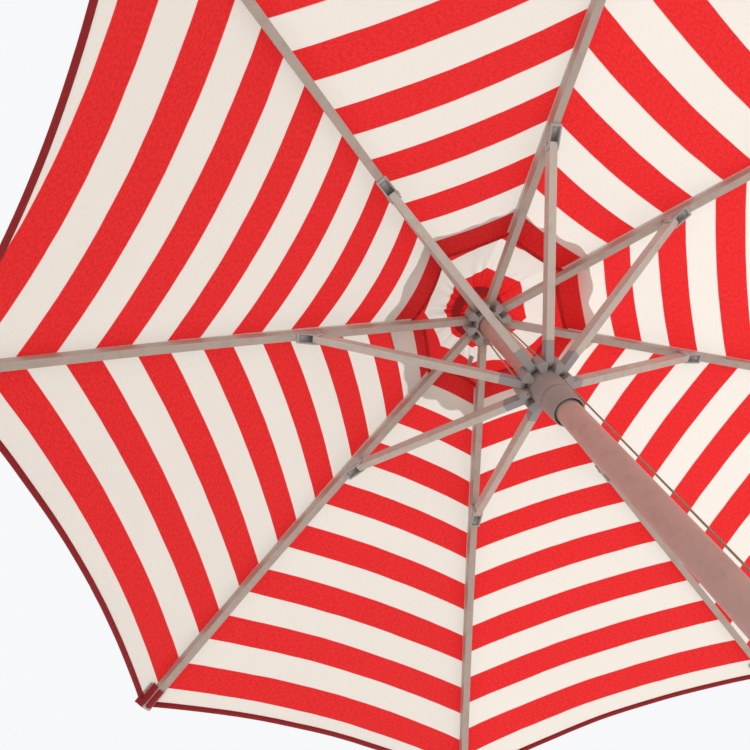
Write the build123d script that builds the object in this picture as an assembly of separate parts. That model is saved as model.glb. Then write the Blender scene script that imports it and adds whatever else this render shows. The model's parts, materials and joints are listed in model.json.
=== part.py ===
from build123d import *
import math
import os

# Beach umbrella: a woven canopy on eight folding ribs, opened by a runner and a lift cord.
#
# Millimetres, +Z up. The origin is on the pole's axis at the pole's lower end.
# The umbrella stands open. Rib 1 points along +X, and the others follow it
# counter-clockwise when seen from above.

# ---- ribs and the fold ----
RIB_COUNT = 8
CROWN_PIVOT_Z = 2200.0        # height of the rib pivots
PIVOT_RADIUS = 46.0           # pole axis to the rib and strut pivots
RIB_SLOPE = 21.4              # degrees below the horizontal, umbrella open
RIB_BRACKET_AT = 419.0        # rib pivot to the strut bracket, along the rib
RIB_LENGTH = 1082.0           # rib pivot to the end of the tube, along the rib
RIB_BEND = 4.4                # degrees that the rib turns down from the bracket to the hem
TUBE_WIDTH = 16.0
TUBE_DEPTH = 20.0
TUBE_WALL = 1.2
RUNNER_PIVOT_DROP = 365.0     # rib pivots down to the strut pivots of the runner

# ---- pole ----
POLE_DIAMETER = 48.0
POLE_WALL = 1.5
POLE_JOINT_Z = 1150.0         # height at which the two pole tubes meet
SPIGOT_LENGTH = 240.0
SPIGOT_WALL = 2.0
FOOT_FLANGE = 4.0
FOOT_SPIGOT = 40.0
FOOT_SPIGOT_WALL = 3.0
FOOT_DEPTH = 300.0            # length of pole that goes into a base
FOOT_MARK = 6.0               # width of the sunk ring that marks this depth
FOOT_MARK_DEPTH = 0.4

# ---- crown hub and runner: one lug pattern ----
LUG_RADIUS = 13.0
LUG_AT = 43.0                 # pole axis to the middle of a lug
SLOT_INNER = 33.0             # pole axis to the inner wall of a slot
SLOT_CORE = 36.0              # radius of the solid core between the lugs
HUB_BELOW_PIVOT = 28.0
HUB_ROOF_ABOVE = 13.0         # underside of the hub's roof above the pivots
HUB_ROOF = 3.0
HUB_ROOF_RADIUS = 50.0
HUB_GAP_RADIUS = 26.5         # relieved bore at the hub's lower face
HUB_GRIP = 16.0               # height of the bore that grips the pole
LUG_EDGE = 2.5
RUNNER_BELOW_PIVOT = 22.0
RUNNER_ABOVE_PIVOT = 16.0
NECK_LENGTH = 103.0
NECK_TOP_RADIUS = 33.5
NECK_END_RADIUS = 30.0
NECK_MOUTH_RADIUS = 27.5
NECK_MOUTH_DEPTH = 18.0
NECK_EDGE = 1.0
LOCK_GROOVE = 1.2             # depth of the decorative ring round the neck

# ---- pins, rivets and clearances ----
HUB_PIN_RADIUS = 2.5
HUB_PIN_LENGTH = 30.0
STRUT_PIN_RADIUS = 3.0
PIN_HEAD_RADIUS = 5.0
PIN_HEAD = 1.6
PIN_SUNK = 0.5                # strut end's pin below the faces of the strut end
RIVET_RADIUS = 1.6
RIVET_HEAD_RADIUS = 3.2
RIVET_HEAD = 1.0
PIN_CLEARANCE = 0.3           # hinge hole over its pin, on the radius
SIDE_CLEARANCE = 0.5          # each side of a tube in its slot or bracket
SLIDE_CLEARANCE = 0.4         # runner over pole, on the radius
PLUG_CLEARANCE = 0.1          # plugs and spigots in their tubes, each side
RIB_PAST_PIVOT = 6.0
STRUT_PAST_PIVOT = 5.0

# ---- strut bracket ----
BRACKET_DROP = 24.5           # rib centre line to the strut pin
BRACKET_BACK = 14.0           # strut pin to the bracket's end on the hub side
BRACKET_REACH = 40.0          # strut pin to the bracket's end on the tip side
BRACKET_BASE = 2.5
BRACKET_CHEEK = 3.0
BRACKET_PIN_ROUND = 11.0      # radius of the cheeks round the pin
BRACKET_LIP = 3.0             # radius of the lip between the cheeks on the tip side
RIVET_BACK = 8.0              # strut pin to the rivet on the hub side
RIVET_REACH = 28.0            # strut pin to the rivet on the tip side

# ---- strut ends and rib tips ----
END_FITTING_LENGTH = 42.0
END_SPIGOT = 30.0
TIP_CAP = 14.0
TIP_SPIGOT = 25.0
TIP_ROUND = 5.0

# ---- canopy and vent cap ----
FABRIC = 1.5
HEM_PAST_TIP = 4.0            # hem beyond the end of the rib's tip cap
OPENING_AT = 121.0            # rib pivot to the edge of the vent opening
CANOPY_ABOVE_INNER = 30.0     # canopy above the rib centre line at the pivots
CANOPY_ABOVE_OUTER = 14.0     # and at the hem
PANEL_SAG = 0.022             # inward dip of a panel, as a share of its chord
PANEL_RISE = 0.006            # height gained by a panel at mid chord
PANEL_FACETS = 4
CAP_AT = 218.0                # rib pivot to the edge of the vent cap
CAP_LIFT = 17.0               # vent cap above the canopy at the cap's edge
CAP_EYE_RADIUS = 8.0          # hole of the vent cap round the finial's neck
CAP_SHOULDER_RADIUS = 60.0    # where the cap turns down over the pulley's cover
CAP_SHOULDER_DROP = 6.0       # and its height below the eye
CAP_SEAT_GAP = 0.3            # cap above the pulley's cover

# ---- pulley, finial and cord ----
CORD_DIAMETER = 3.5
SHEAVE_PITCH_RADIUS = 27.0
SHEAVE_ABOVE_PIVOT = 50.0
SHEAVE_WIDTH = 9.0
SHEAVE_FLANGE = 2.5           # flange outside the pitch circle
GROOVE_CLEARANCE = 0.3
AXLE_RADIUS = 3.0
EAR_THICKNESS = 4.0
EAR_GAP = 0.6                 # each side of the sheave
EAR_WIDTH = 24.0
FINIAL_RADIUS = 37.0
FINIAL_WALL = 3.0
FINIAL_FLANGE_RADIUS = 48.0
FINIAL_FLANGE = 3.5
KNOB_BALL_RADIUS = 9.0
KNOB_NECK_RADIUS = 6.0
KNOB_ABOVE_COVER = 8.0        # middle of the ball above the pulley's cover
CORD_AT = 22.5                # azimuth of the plane that holds both runs of the cord
CORD_GUIDE_RADIUS = 37.0      # cord to pole axis at the top of the runner
CORD_HOLE_CLEARANCE = 0.9
KNOT_RADIUS = 4.5

# ---- cleat, joint collar and its clamp knob ----
CLEAT_Z = 950.0
CLEAT_LENGTH = 90.0
CLEAT_FOOT = 66.0
CLEAT_FOOT_THICKNESS = 3.5
CLEAT_STEM = 26.0
CLEAT_STAND_OFF = 16.0
CLEAT_BAR_RADIUS = 5.0
CLEAT_WIDTH = 16.0
CLEAT_SCREW_RADIUS = 2.0
CLEAT_SCREW_LENGTH = 9.0
CLEAT_SCREW_HEAD_RADIUS = 3.6
CLEAT_SCREW_HEAD = 1.6
COLLAR_LENGTH = 60.0
COLLAR_WALL = 5.0
COLLAR_EDGE = 2.0
CLAMP_BELOW_JOINT = 30.0
CLAMP_SCREW_RADIUS = 4.0
CLAMP_KNOB_RADIUS = 14.0
CLAMP_KNOB_LENGTH = 12.0
CLAMP_KNOB_GAP = 2.0
CLAMP_LOBES = 6
CLAMP_LOBE_RADIUS = 4.0

# ---- worked out from the sizes above ----
PITCH = 360.0 / RIB_COUNT
POLE_RADIUS = POLE_DIAMETER / 2
POLE_BORE = POLE_RADIUS - POLE_WALL
POLE_TOP_Z = CROWN_PIVOT_Z + HUB_ROOF_ABOVE
RUNNER_PIVOT_Z = CROWN_PIVOT_Z - RUNNER_PIVOT_DROP
SLOT_WIDTH = TUBE_WIDTH + 2 * SIDE_CLEARANCE
HEM_AT = RIB_LENGTH + TIP_CAP + HEM_PAST_TIP
BEND_AT = RIB_BRACKET_AT + BRACKET_REACH
BEND_RADIUS = (HEM_AT - BEND_AT) / math.radians(RIB_BEND)
HUB_TOP_Z = CROWN_PIVOT_Z + HUB_ROOF_ABOVE + HUB_ROOF
SHEAVE_Z = CROWN_PIVOT_Z + SHEAVE_ABOVE_PIVOT
COVER_TOP_Z = SHEAVE_Z + FINIAL_RADIUS
CORD_RADIUS = CORD_DIAMETER / 2
RUNNER_TOP_Z = RUNNER_PIVOT_Z + RUNNER_ABOVE_PIVOT
RUNNER_LUG_BASE_Z = RUNNER_PIVOT_Z - RUNNER_BELOW_PIVOT
NECK_END_Z = RUNNER_LUG_BASE_Z - NECK_LENGTH
CLAMP_Z = POLE_JOINT_Z - CLAMP_BELOW_JOINT
CLEAT_BAR_AT = POLE_RADIUS + CLEAT_STAND_OFF
COLLAR_RADIUS = POLE_RADIUS + COLLAR_WALL

RIB_DIRECTION = (math.cos(math.radians(RIB_SLOPE)), 0, -math.sin(math.radians(RIB_SLOPE)))
RIB_PLANE = Plane(
    origin=(PIVOT_RADIUS, 0, CROWN_PIVOT_Z), x_dir=RIB_DIRECTION, z_dir=(0, -1, 0)
)


def rib_local(along, above):
    """Point of the rib plane: a distance along the centre line and one square to it."""
    if along <= BEND_AT:
        return (along, above)
    turn = (along - BEND_AT) / BEND_RADIUS
    radius = BEND_RADIUS + above
    return (BEND_AT + radius * math.sin(turn), radius * math.cos(turn) - BEND_RADIUS)


def rib_world(along, above):
    """The same point as a radius from the pole axis and a height."""
    point = RIB_PLANE.from_local_coords(Vector(*rib_local(along, above), 0))
    return (point.X, point.Z)


STRUT_TOP = RIB_PLANE.from_local_coords(Vector(RIB_BRACKET_AT, -BRACKET_DROP, 0))
STRUT_FOOT = Vector(PIVOT_RADIUS, 0, RUNNER_PIVOT_Z)
STRUT_SPAN = (STRUT_FOOT - STRUT_TOP).length
STRUT_PLANE = Plane(origin=STRUT_TOP, x_dir=STRUT_FOOT - STRUT_TOP, z_dir=(0, -1, 0))


def turned(shape, index, offset=0.0):
    """Copy of a shape made at azimuth 0, turned to one of the evenly spaced places."""
    return Rot(0, 0, index * PITCH + offset) * shape


def around(shape, offset=0.0):
    """One copy of a shape at each rib's place, all as one group."""
    return [turned(shape, index, offset) for index in range(RIB_COUNT)]


def tube(outer, inner, low, high):
    """Round tube on the pole's axis between two heights."""
    middle = (low + high) / 2
    wall = Cylinder(outer, high - low) - Cylinder(inner, high - low)
    return Pos(0, 0, middle) * wall


# ---- pole ----
def pole_lower():
    """Lower tube, bored for its screws, with a ring that marks how deep it goes into a base."""
    wall = tube(POLE_RADIUS, POLE_BORE, FOOT_FLANGE, POLE_JOINT_Z) - clamp_bore()
    wall -= tube(POLE_DIAMETER, POLE_RADIUS - FOOT_MARK_DEPTH, FOOT_DEPTH, FOOT_DEPTH + FOOT_MARK)
    return wall - cleat_screw_shanks(CLEAT_SCREW_RADIUS)


def pole_upper():
    return tube(POLE_RADIUS, POLE_BORE, POLE_JOINT_Z, POLE_TOP_Z)


def pole_spigot():
    """Inner sleeve that carries the upper tube on the lower one."""
    outer = POLE_BORE - PLUG_CLEARANCE
    half = SPIGOT_LENGTH / 2
    return tube(outer, outer - SPIGOT_WALL, POLE_JOINT_Z - half, POLE_JOINT_Z + half)


def foot_plug():
    """End plug with its flange across the pole's lower end."""
    outer = POLE_BORE - PLUG_CLEARANCE
    flange = Pos(0, 0, FOOT_FLANGE / 2) * Cylinder(POLE_RADIUS, FOOT_FLANGE)
    return flange + tube(outer, outer - FOOT_SPIGOT_WALL, FOOT_FLANGE, FOOT_FLANGE + FOOT_SPIGOT)


def clamp_axis(distance):
    """Place on the clamp screw's axis, with local Z pointing away from the pole."""
    return Rot(0, 0, CORD_AT + 180) * Pos(distance, 0, CLAMP_Z) * Rot(0, 90, 0)


def clamp_bore():
    return clamp_axis(COLLAR_RADIUS) * Cylinder(CLAMP_SCREW_RADIUS + PIN_CLEARANCE, COLLAR_RADIUS)


def joint_collar():
    """Collar over the upper end of the lower tube, bored for the clamp screw."""
    collar = tube(COLLAR_RADIUS, POLE_RADIUS, POLE_JOINT_Z - COLLAR_LENGTH, POLE_JOINT_Z)
    ends = collar.edges().filter_by(GeomType.CIRCLE).filter_by(lambda e: e.radius > POLE_RADIUS + 1)
    collar = fillet(ends, COLLAR_EDGE)
    return collar - clamp_bore()


def clamp_knob():
    """Lobed knob with its screw, which reaches the spigot through collar and tube."""
    tip = POLE_BORE
    base = COLLAR_RADIUS + CLAMP_KNOB_GAP
    knob = Cylinder(CLAMP_KNOB_RADIUS, CLAMP_KNOB_LENGTH)
    for index in range(CLAMP_LOBES):
        lobe = Pos(CLAMP_KNOB_RADIUS, 0, 0) * Cylinder(CLAMP_LOBE_RADIUS, CLAMP_KNOB_LENGTH)
        knob -= Rot(0, 0, index * 360.0 / CLAMP_LOBES) * lobe
    screw = Cylinder(CLAMP_SCREW_RADIUS, base - tip)
    knob = clamp_axis(base + CLAMP_KNOB_LENGTH / 2) * knob
    return knob + clamp_axis((base + tip) / 2) * screw


# ---- crown hub and runner ----
def lugs(low, high, rounded):
    """Ring of round lugs between two heights, with the lowest edges rounded."""
    lug = Cylinder(LUG_RADIUS, high - low)
    edges = lug.edges().filter_by(GeomType.CIRCLE).sort_by(Axis.Z)
    lug = fillet(edges if rounded == "both" else edges[:1], LUG_EDGE)
    return around(Pos(LUG_AT, 0, (low + high) / 2) * lug, PITCH / 2)


def slots(low, high):
    """Radial slots that the ribs or struts swing in."""
    reach = LUG_AT + 2 * LUG_RADIUS
    cutter = Box(reach - SLOT_INNER, SLOT_WIDTH, high - low)
    return around(Pos((reach + SLOT_INNER) / 2, 0, (low + high) / 2) * cutter)


def pin_across(radius, length):
    """Pin square to the radial plane of azimuth 0, centred on the rib pivot."""
    return Pos(PIVOT_RADIUS, 0, CROWN_PIVOT_Z) * Rot(90, 0, 0) * Cylinder(radius, length)


def crown_hub():
    """Slotted hub on the pole's upper end, with two ears for the pulley axle."""
    base = CROWN_PIVOT_Z - HUB_BELOW_PIVOT
    roof = CROWN_PIVOT_Z + HUB_ROOF_ABOVE
    core = tube(SLOT_CORE, POLE_RADIUS, base, roof)
    hub = core + lugs(base, roof, "low")
    hub -= slots(base - 1, roof)
    hub += Pos(0, 0, (roof + HUB_TOP_Z) / 2) * Cylinder(HUB_ROOF_RADIUS, HUB_ROOF)
    hub -= tube(HUB_GAP_RADIUS, POLE_RADIUS, base, POLE_TOP_Z - HUB_GRIP)
    hub -= around(pin_across(HUB_PIN_RADIUS, HUB_PIN_LENGTH))
    hub += pulley_ears()
    hub -= cord_holes(base, HUB_TOP_Z)
    return hub


def pulley_ears():
    """Two upright ears on the hub's roof that carry the axle of the pulley."""
    offset = SHEAVE_WIDTH / 2 + EAR_GAP + EAR_THICKNESS / 2
    height = SHEAVE_ABOVE_PIVOT - HUB_ROOF_ABOVE - HUB_ROOF
    plate = Pos(0, 0, height / 2) * Box(EAR_WIDTH, EAR_THICKNESS, height)
    plate += Pos(0, 0, height) * Rot(90, 0, 0) * Cylinder(EAR_WIDTH / 2, EAR_THICKNESS)
    plate -= Pos(0, 0, height) * Rot(90, 0, 0) * Cylinder(AXLE_RADIUS, EAR_THICKNESS)
    ears = []
    for side in (-1, 1):
        ears.append(Rot(0, 0, CORD_AT) * Pos(0, side * offset, HUB_TOP_Z) * plate)
    return ears


def crown_pins():
    """One pin for each rib, set in the lugs on both sides of its slot."""
    return Compound(children=around(pin_across(HUB_PIN_RADIUS, HUB_PIN_LENGTH)))


def runner():
    """Slotted ring and neck that slide on the pole."""
    bore = POLE_RADIUS + SLIDE_CLEARANCE
    core = tube(SLOT_CORE, bore, RUNNER_LUG_BASE_Z, RUNNER_TOP_Z)
    ring = core + lugs(RUNNER_LUG_BASE_Z, RUNNER_TOP_Z, "both")
    ring -= slots(RUNNER_LUG_BASE_Z - 1, RUNNER_TOP_Z + 1)
    ring += runner_neck(bore)
    return ring - cord_holes(RUNNER_LUG_BASE_Z, RUNNER_TOP_Z)


def runner_neck(bore):
    """Tapering neck below the lugs, relieved at its mouth."""
    shoulder = RUNNER_LUG_BASE_Z
    middle = (shoulder + NECK_END_Z) / 2
    swell = (NECK_TOP_RADIUS + NECK_END_RADIUS) / 2 + (NECK_TOP_RADIUS - NECK_END_RADIUS) / 4
    side = ThreePointArc(
        (NECK_END_RADIUS, 0, NECK_END_Z), (swell, 0, middle), (NECK_TOP_RADIUS, 0, shoulder)
    )
    outline = side + Polyline(
        (NECK_TOP_RADIUS, 0, shoulder),
        (bore, 0, shoulder),
        (bore, 0, NECK_END_Z + NECK_MOUTH_DEPTH),
        (NECK_MOUTH_RADIUS, 0, NECK_END_Z + NECK_MOUTH_DEPTH),
        (NECK_MOUTH_RADIUS, 0, NECK_END_Z),
        (NECK_END_RADIUS, 0, NECK_END_Z),
    )
    neck = revolve(make_face(outline), Axis.Z, 360)
    band = tube(NECK_TOP_RADIUS + 1, NECK_END_RADIUS - LOCK_GROOVE, middle - 1, middle + 1)
    neck -= band
    rim = neck.edges().filter_by(GeomType.CIRCLE).group_by(Axis.Z)[0]
    return fillet(rim, NECK_EDGE)


# ---- ribs ----
def rib_solid(width, depth):
    """Solid bar along the rib's centre line, with a square section."""
    start = -RIB_PAST_PIVOT
    middle = (BEND_AT + RIB_LENGTH) / 2
    half = depth / 2
    outline = Line(rib_local(start, -half), rib_local(BEND_AT, -half))
    outline += ThreePointArc(
        rib_local(BEND_AT, -half), rib_local(middle, -half), rib_local(RIB_LENGTH, -half)
    )
    outline += Line(rib_local(RIB_LENGTH, -half), rib_local(RIB_LENGTH, half))
    outline += ThreePointArc(
        rib_local(RIB_LENGTH, half), rib_local(middle, half), rib_local(BEND_AT, half)
    )
    outline += Polyline(
        rib_local(BEND_AT, half), rib_local(start, half), rib_local(start, -half)
    )
    return extrude(RIB_PLANE * make_face(outline), amount=width / 2, both=True)


def rivet_places():
    return [RIB_BRACKET_AT - RIVET_BACK, RIB_BRACKET_AT + RIVET_REACH]


def rib():
    """Rectangular tube, bored for the crown pin and the bracket's rivets."""
    bar = rib_solid(TUBE_WIDTH, TUBE_DEPTH)
    bar -= rib_solid(TUBE_WIDTH - 2 * TUBE_WALL, TUBE_DEPTH - 2 * TUBE_WALL)
    bar -= RIB_PLANE * Cylinder(HUB_PIN_RADIUS + PIN_CLEARANCE, TUBE_WIDTH)
    for along in rivet_places():
        place = Pos(along, -TUBE_DEPTH / 2 + TUBE_WALL / 2, 0) * Rot(90, 0, 0)
        bar -= RIB_PLANE * place * Cylinder(RIVET_RADIUS, 2 * TUBE_WALL)
    return bar


def rib_tip():
    """End cap with a rounded nose and a spigot inside the tube."""
    turn = math.degrees((RIB_LENGTH - BEND_AT) / BEND_RADIUS)
    end = RIB_PLANE * Pos(*rib_local(RIB_LENGTH, 0), 0) * Rot(0, 0, -turn)
    nose = Pos(TIP_CAP / 2, 0, 0) * Box(TIP_CAP, TUBE_DEPTH, TUBE_WIDTH)
    nose = fillet(nose.faces().sort_by(Axis.X)[-1].edges(), TIP_ROUND)
    inside = 2 * (TUBE_WALL + PLUG_CLEARANCE)
    spigot = Pos(-TIP_SPIGOT / 2, 0, 0) * Box(TIP_SPIGOT, TUBE_DEPTH - inside, TUBE_WIDTH - inside)
    return end * (nose + spigot)


def rib_bracket():
    """Saddle under the rib with its strut pin and the two rivets that hold it."""
    return Compound(children=[bracket_saddle(), strut_pin(), *bracket_rivets()])


def bracket_lip():
    """Middle of the lip, in the rib plane."""
    return Pos(RIB_BRACKET_AT + BRACKET_REACH - BRACKET_LIP, -TUBE_DEPTH / 2 - BRACKET_LIP, 0)


def bracket_outline():
    """Side of the bracket: a round at the pin, drawn out under the rib towards the tip."""
    length = BRACKET_BACK + BRACKET_REACH
    middle = RIB_BRACKET_AT + BRACKET_REACH - length / 2
    base = Pos(middle, (-TUBE_DEPTH - BRACKET_BASE) / 2) * Rectangle(length, BRACKET_BASE)
    round_end = Pos(RIB_BRACKET_AT, -BRACKET_DROP) * Circle(BRACKET_PIN_ROUND)
    lip_end = bracket_lip() * Circle(BRACKET_LIP)
    return make_hull(base.edges() + round_end.edges() + lip_end.edges())


def bracket_saddle():
    outer_width = SLOT_WIDTH + 2 * BRACKET_CHEEK
    top = -TUBE_DEPTH / 2
    bottom = -BRACKET_DROP - BRACKET_PIN_ROUND
    saddle = extrude(RIB_PLANE * bracket_outline(), amount=outer_width / 2, both=True)
    gap_height = top - BRACKET_BASE - bottom
    gap_length = 2 * (BRACKET_BACK + BRACKET_REACH)
    gap = Pos(RIB_BRACKET_AT, bottom + gap_height / 2, 0)
    saddle -= RIB_PLANE * gap * Box(gap_length, gap_height, SLOT_WIDTH)
    saddle += RIB_PLANE * bracket_lip() * Cylinder(BRACKET_LIP, SLOT_WIDTH)
    saddle -= RIB_PLANE * Pos(RIB_BRACKET_AT, -BRACKET_DROP, 0) * Cylinder(
        STRUT_PIN_RADIUS, outer_width
    )
    for along in rivet_places():
        place = Pos(along, top - BRACKET_BASE / 2, 0) * Rot(90, 0, 0)
        saddle -= RIB_PLANE * place * Cylinder(RIVET_RADIUS, 2 * BRACKET_BASE)
    return saddle


def strut_pin():
    width = SLOT_WIDTH + 2 * BRACKET_CHEEK
    pin = Cylinder(STRUT_PIN_RADIUS, width)
    for side in (-1, 1):
        pin += Pos(0, 0, side * (width + PIN_HEAD) / 2) * Cylinder(PIN_HEAD_RADIUS, PIN_HEAD)
    return RIB_PLANE * Pos(RIB_BRACKET_AT, -BRACKET_DROP, 0) * pin


def bracket_rivets():
    """Rivets through the saddle's base and the rib's lower wall."""
    top = -TUBE_DEPTH / 2 + TUBE_WALL
    length = TUBE_WALL + BRACKET_BASE
    rivets = []
    for along in rivet_places():
        shank = Pos(along, top - length / 2, 0) * Rot(90, 0, 0) * Cylinder(RIVET_RADIUS, length)
        head = Pos(along, top - length - RIVET_HEAD / 2, 0) * Rot(90, 0, 0)
        rivets.append(RIB_PLANE * (shank + head * Cylinder(RIVET_HEAD_RADIUS, RIVET_HEAD)))
    return rivets


# ---- struts ----
def strut():
    """Rectangular tube from the bracket's pin to the end fitting."""
    length = STRUT_SPAN - END_FITTING_LENGTH + STRUT_PAST_PIVOT
    middle = length / 2 - STRUT_PAST_PIVOT
    bar = Pos(middle, 0, 0) * Box(length, TUBE_DEPTH, TUBE_WIDTH)
    bar -= Pos(middle, 0, 0) * Box(length, TUBE_DEPTH - 2 * TUBE_WALL, TUBE_WIDTH - 2 * TUBE_WALL)
    bar -= Cylinder(STRUT_PIN_RADIUS + PIN_CLEARANCE, TUBE_WIDTH)
    return STRUT_PLANE * bar


def strut_end():
    """Moulded tongue that swings in the runner's slot, with its sunk pin."""
    start = STRUT_SPAN - END_FITTING_LENGTH
    body = Pos(start + END_FITTING_LENGTH / 2, 0, 0) * Box(END_FITTING_LENGTH, TUBE_DEPTH, TUBE_WIDTH)
    body += Pos(STRUT_SPAN, 0, 0) * Cylinder(TUBE_DEPTH / 2, TUBE_WIDTH)
    inside = 2 * (TUBE_WALL + PLUG_CLEARANCE)
    body += Pos(start - END_SPIGOT / 2, 0, 0) * Box(END_SPIGOT, TUBE_DEPTH - inside, TUBE_WIDTH - inside)
    body -= Pos(STRUT_SPAN, 0, 0) * Cylinder(STRUT_PIN_RADIUS, TUBE_WIDTH)
    pin = Pos(STRUT_SPAN, 0, 0) * Cylinder(STRUT_PIN_RADIUS, TUBE_WIDTH - 2 * PIN_SUNK)
    return Compound(children=[STRUT_PLANE * body, STRUT_PLANE * pin])


# ---- canopy and vent cap ----
def fabric_ring(radius, height):
    """Closed ring of points through the rib lines, dipping in between them."""
    chord = 2 * radius * math.sin(math.radians(PITCH / 2))
    ring = []
    for index in range(RIB_COUNT):
        first = Vector(radius, 0, height).rotate(Axis.Z, index * PITCH)
        second = Vector(radius, 0, height).rotate(Axis.Z, (index + 1) * PITCH)
        inward = Vector(-1, 0, 0).rotate(Axis.Z, (index + 0.5) * PITCH)
        for step in range(PANEL_FACETS):
            share = step / PANEL_FACETS
            bulge = 4 * share * (1 - share) * chord
            point = first * (1 - share) + second * share
            ring.append(point + inward * (bulge * PANEL_SAG) + Vector(0, 0, bulge * PANEL_RISE))
    return ring


def strip(first, second):
    """Triangles that join two closed rings of points."""
    faces = []
    count = len(first)
    for index in range(count):
        following = (index + 1) % count
        a, b = first[index], first[following]
        c, d = second[index], second[following]
        faces.append(Face(Wire.make_polygon([a, b, d])))
        faces.append(Face(Wire.make_polygon([a, d, c])))
    return faces


def fabric(profile):
    """Closed sheet of one thickness through rings of a given radius and height."""
    upper = [fabric_ring(radius, height) for radius, height in profile]
    lower = [fabric_ring(radius, height - FABRIC) for radius, height in profile]
    faces = strip(upper[0], lower[0]) + strip(upper[-1], lower[-1])
    for rings in (upper, lower):
        for inner, outer in zip(rings, rings[1:]):
            faces += strip(inner, outer)
    return Solid(Shell(faces))


def canopy_above(along):
    share = along / HEM_AT
    return CANOPY_ABOVE_INNER * (1 - share) + CANOPY_ABOVE_OUTER * share


def canopy():
    """Eight-panel cover from the vent opening to the hem."""
    outer_step = (HEM_AT - RIB_BRACKET_AT) / 3
    stations = [OPENING_AT, RIB_BRACKET_AT]
    stations += [RIB_BRACKET_AT + outer_step * step for step in (1, 2, 3)]
    return fabric([rib_world(along, canopy_above(along)) for along in stations])


def vent_cap():
    """Second layer over the opening, hung from the finial's neck and loose at its edge."""
    edge_radius, canopy_height = rib_world(CAP_AT, canopy_above(CAP_AT))
    eye_height = COVER_TOP_Z + CAP_SEAT_GAP + FABRIC
    eye = (CAP_EYE_RADIUS, eye_height)
    shoulder = (CAP_SHOULDER_RADIUS, eye_height - CAP_SHOULDER_DROP)
    return fabric([eye, shoulder, (edge_radius, canopy_height + CAP_LIFT)])


# ---- pulley, finial and cord ----
def sheave_place():
    return Rot(0, 0, CORD_AT) * Pos(0, 0, SHEAVE_Z) * Rot(90, 0, 0)


def pulley_wheel():
    """Grooved wheel that the lift cord runs over."""
    wheel = Cylinder(SHEAVE_PITCH_RADIUS + SHEAVE_FLANGE, SHEAVE_WIDTH)
    wheel -= Torus(SHEAVE_PITCH_RADIUS, CORD_RADIUS + GROOVE_CLEARANCE)
    groove = Cylinder(SHEAVE_PITCH_RADIUS + 2 * SHEAVE_FLANGE, 2 * (CORD_RADIUS + GROOVE_CLEARANCE))
    groove -= Cylinder(SHEAVE_PITCH_RADIUS, SHEAVE_WIDTH)
    wheel -= groove
    wheel -= Cylinder(AXLE_RADIUS + PIN_CLEARANCE, SHEAVE_WIDTH)
    return sheave_place() * wheel


def pulley_axle():
    """Axle set in both ears of the hub."""
    length = SHEAVE_WIDTH + 2 * (EAR_GAP + EAR_THICKNESS)
    return sheave_place() * Cylinder(AXLE_RADIUS, length)


def finial():
    """Domed cover over the pulley, with the neck and ball that hold the vent cap."""
    inner = FINIAL_RADIUS - FINIAL_WALL
    cover = tube(FINIAL_RADIUS, inner, HUB_TOP_Z, SHEAVE_Z)
    dome = Pos(0, 0, SHEAVE_Z) * (Sphere(FINIAL_RADIUS) - Sphere(inner))
    dome -= Pos(0, 0, SHEAVE_Z - FINIAL_RADIUS) * Cylinder(FINIAL_RADIUS * 2, FINIAL_RADIUS * 2)
    cover += dome
    cover += tube(FINIAL_FLANGE_RADIUS, inner, HUB_TOP_Z, HUB_TOP_Z + FINIAL_FLANGE)
    neck_length = KNOB_ABOVE_COVER + FINIAL_WALL / 2
    neck = Pos(0, 0, COVER_TOP_Z + KNOB_ABOVE_COVER - neck_length / 2)
    cover += neck * Cylinder(KNOB_NECK_RADIUS, neck_length)
    return cover + Pos(0, 0, COVER_TOP_Z + KNOB_ABOVE_COVER) * Sphere(KNOB_BALL_RADIUS)


def cord_slant():
    """Angle in degrees that the runs of the cord lean out from the vertical."""
    out = CORD_GUIDE_RADIUS
    down = SHEAVE_Z - RUNNER_TOP_Z
    reach = math.hypot(out, down)
    return math.degrees(math.atan2(out, down) - math.asin(SHEAVE_PITCH_RADIUS / reach))


def cord_at(height):
    """Radius of a leaning run at a height below the sheave's tangent point."""
    slant = math.radians(cord_slant())
    tangent_radius = SHEAVE_PITCH_RADIUS * math.cos(slant)
    tangent_z = SHEAVE_Z + SHEAVE_PITCH_RADIUS * math.sin(slant)
    return tangent_radius + (tangent_z - height) * math.tan(slant)


def cord_holes(low, high):
    """Two leaning holes for the cord through everything between two heights."""
    radius = CORD_RADIUS + CORD_HOLE_CLEARANCE
    middle = (low + high) / 2
    length = (high - low) * 1.2
    hole = Pos(cord_at(middle), 0, middle) * Rot(0, -cord_slant(), 0) * Cylinder(radius, length)
    return [Rot(0, 0, CORD_AT + side) * hole for side in (0, 180)]


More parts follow.
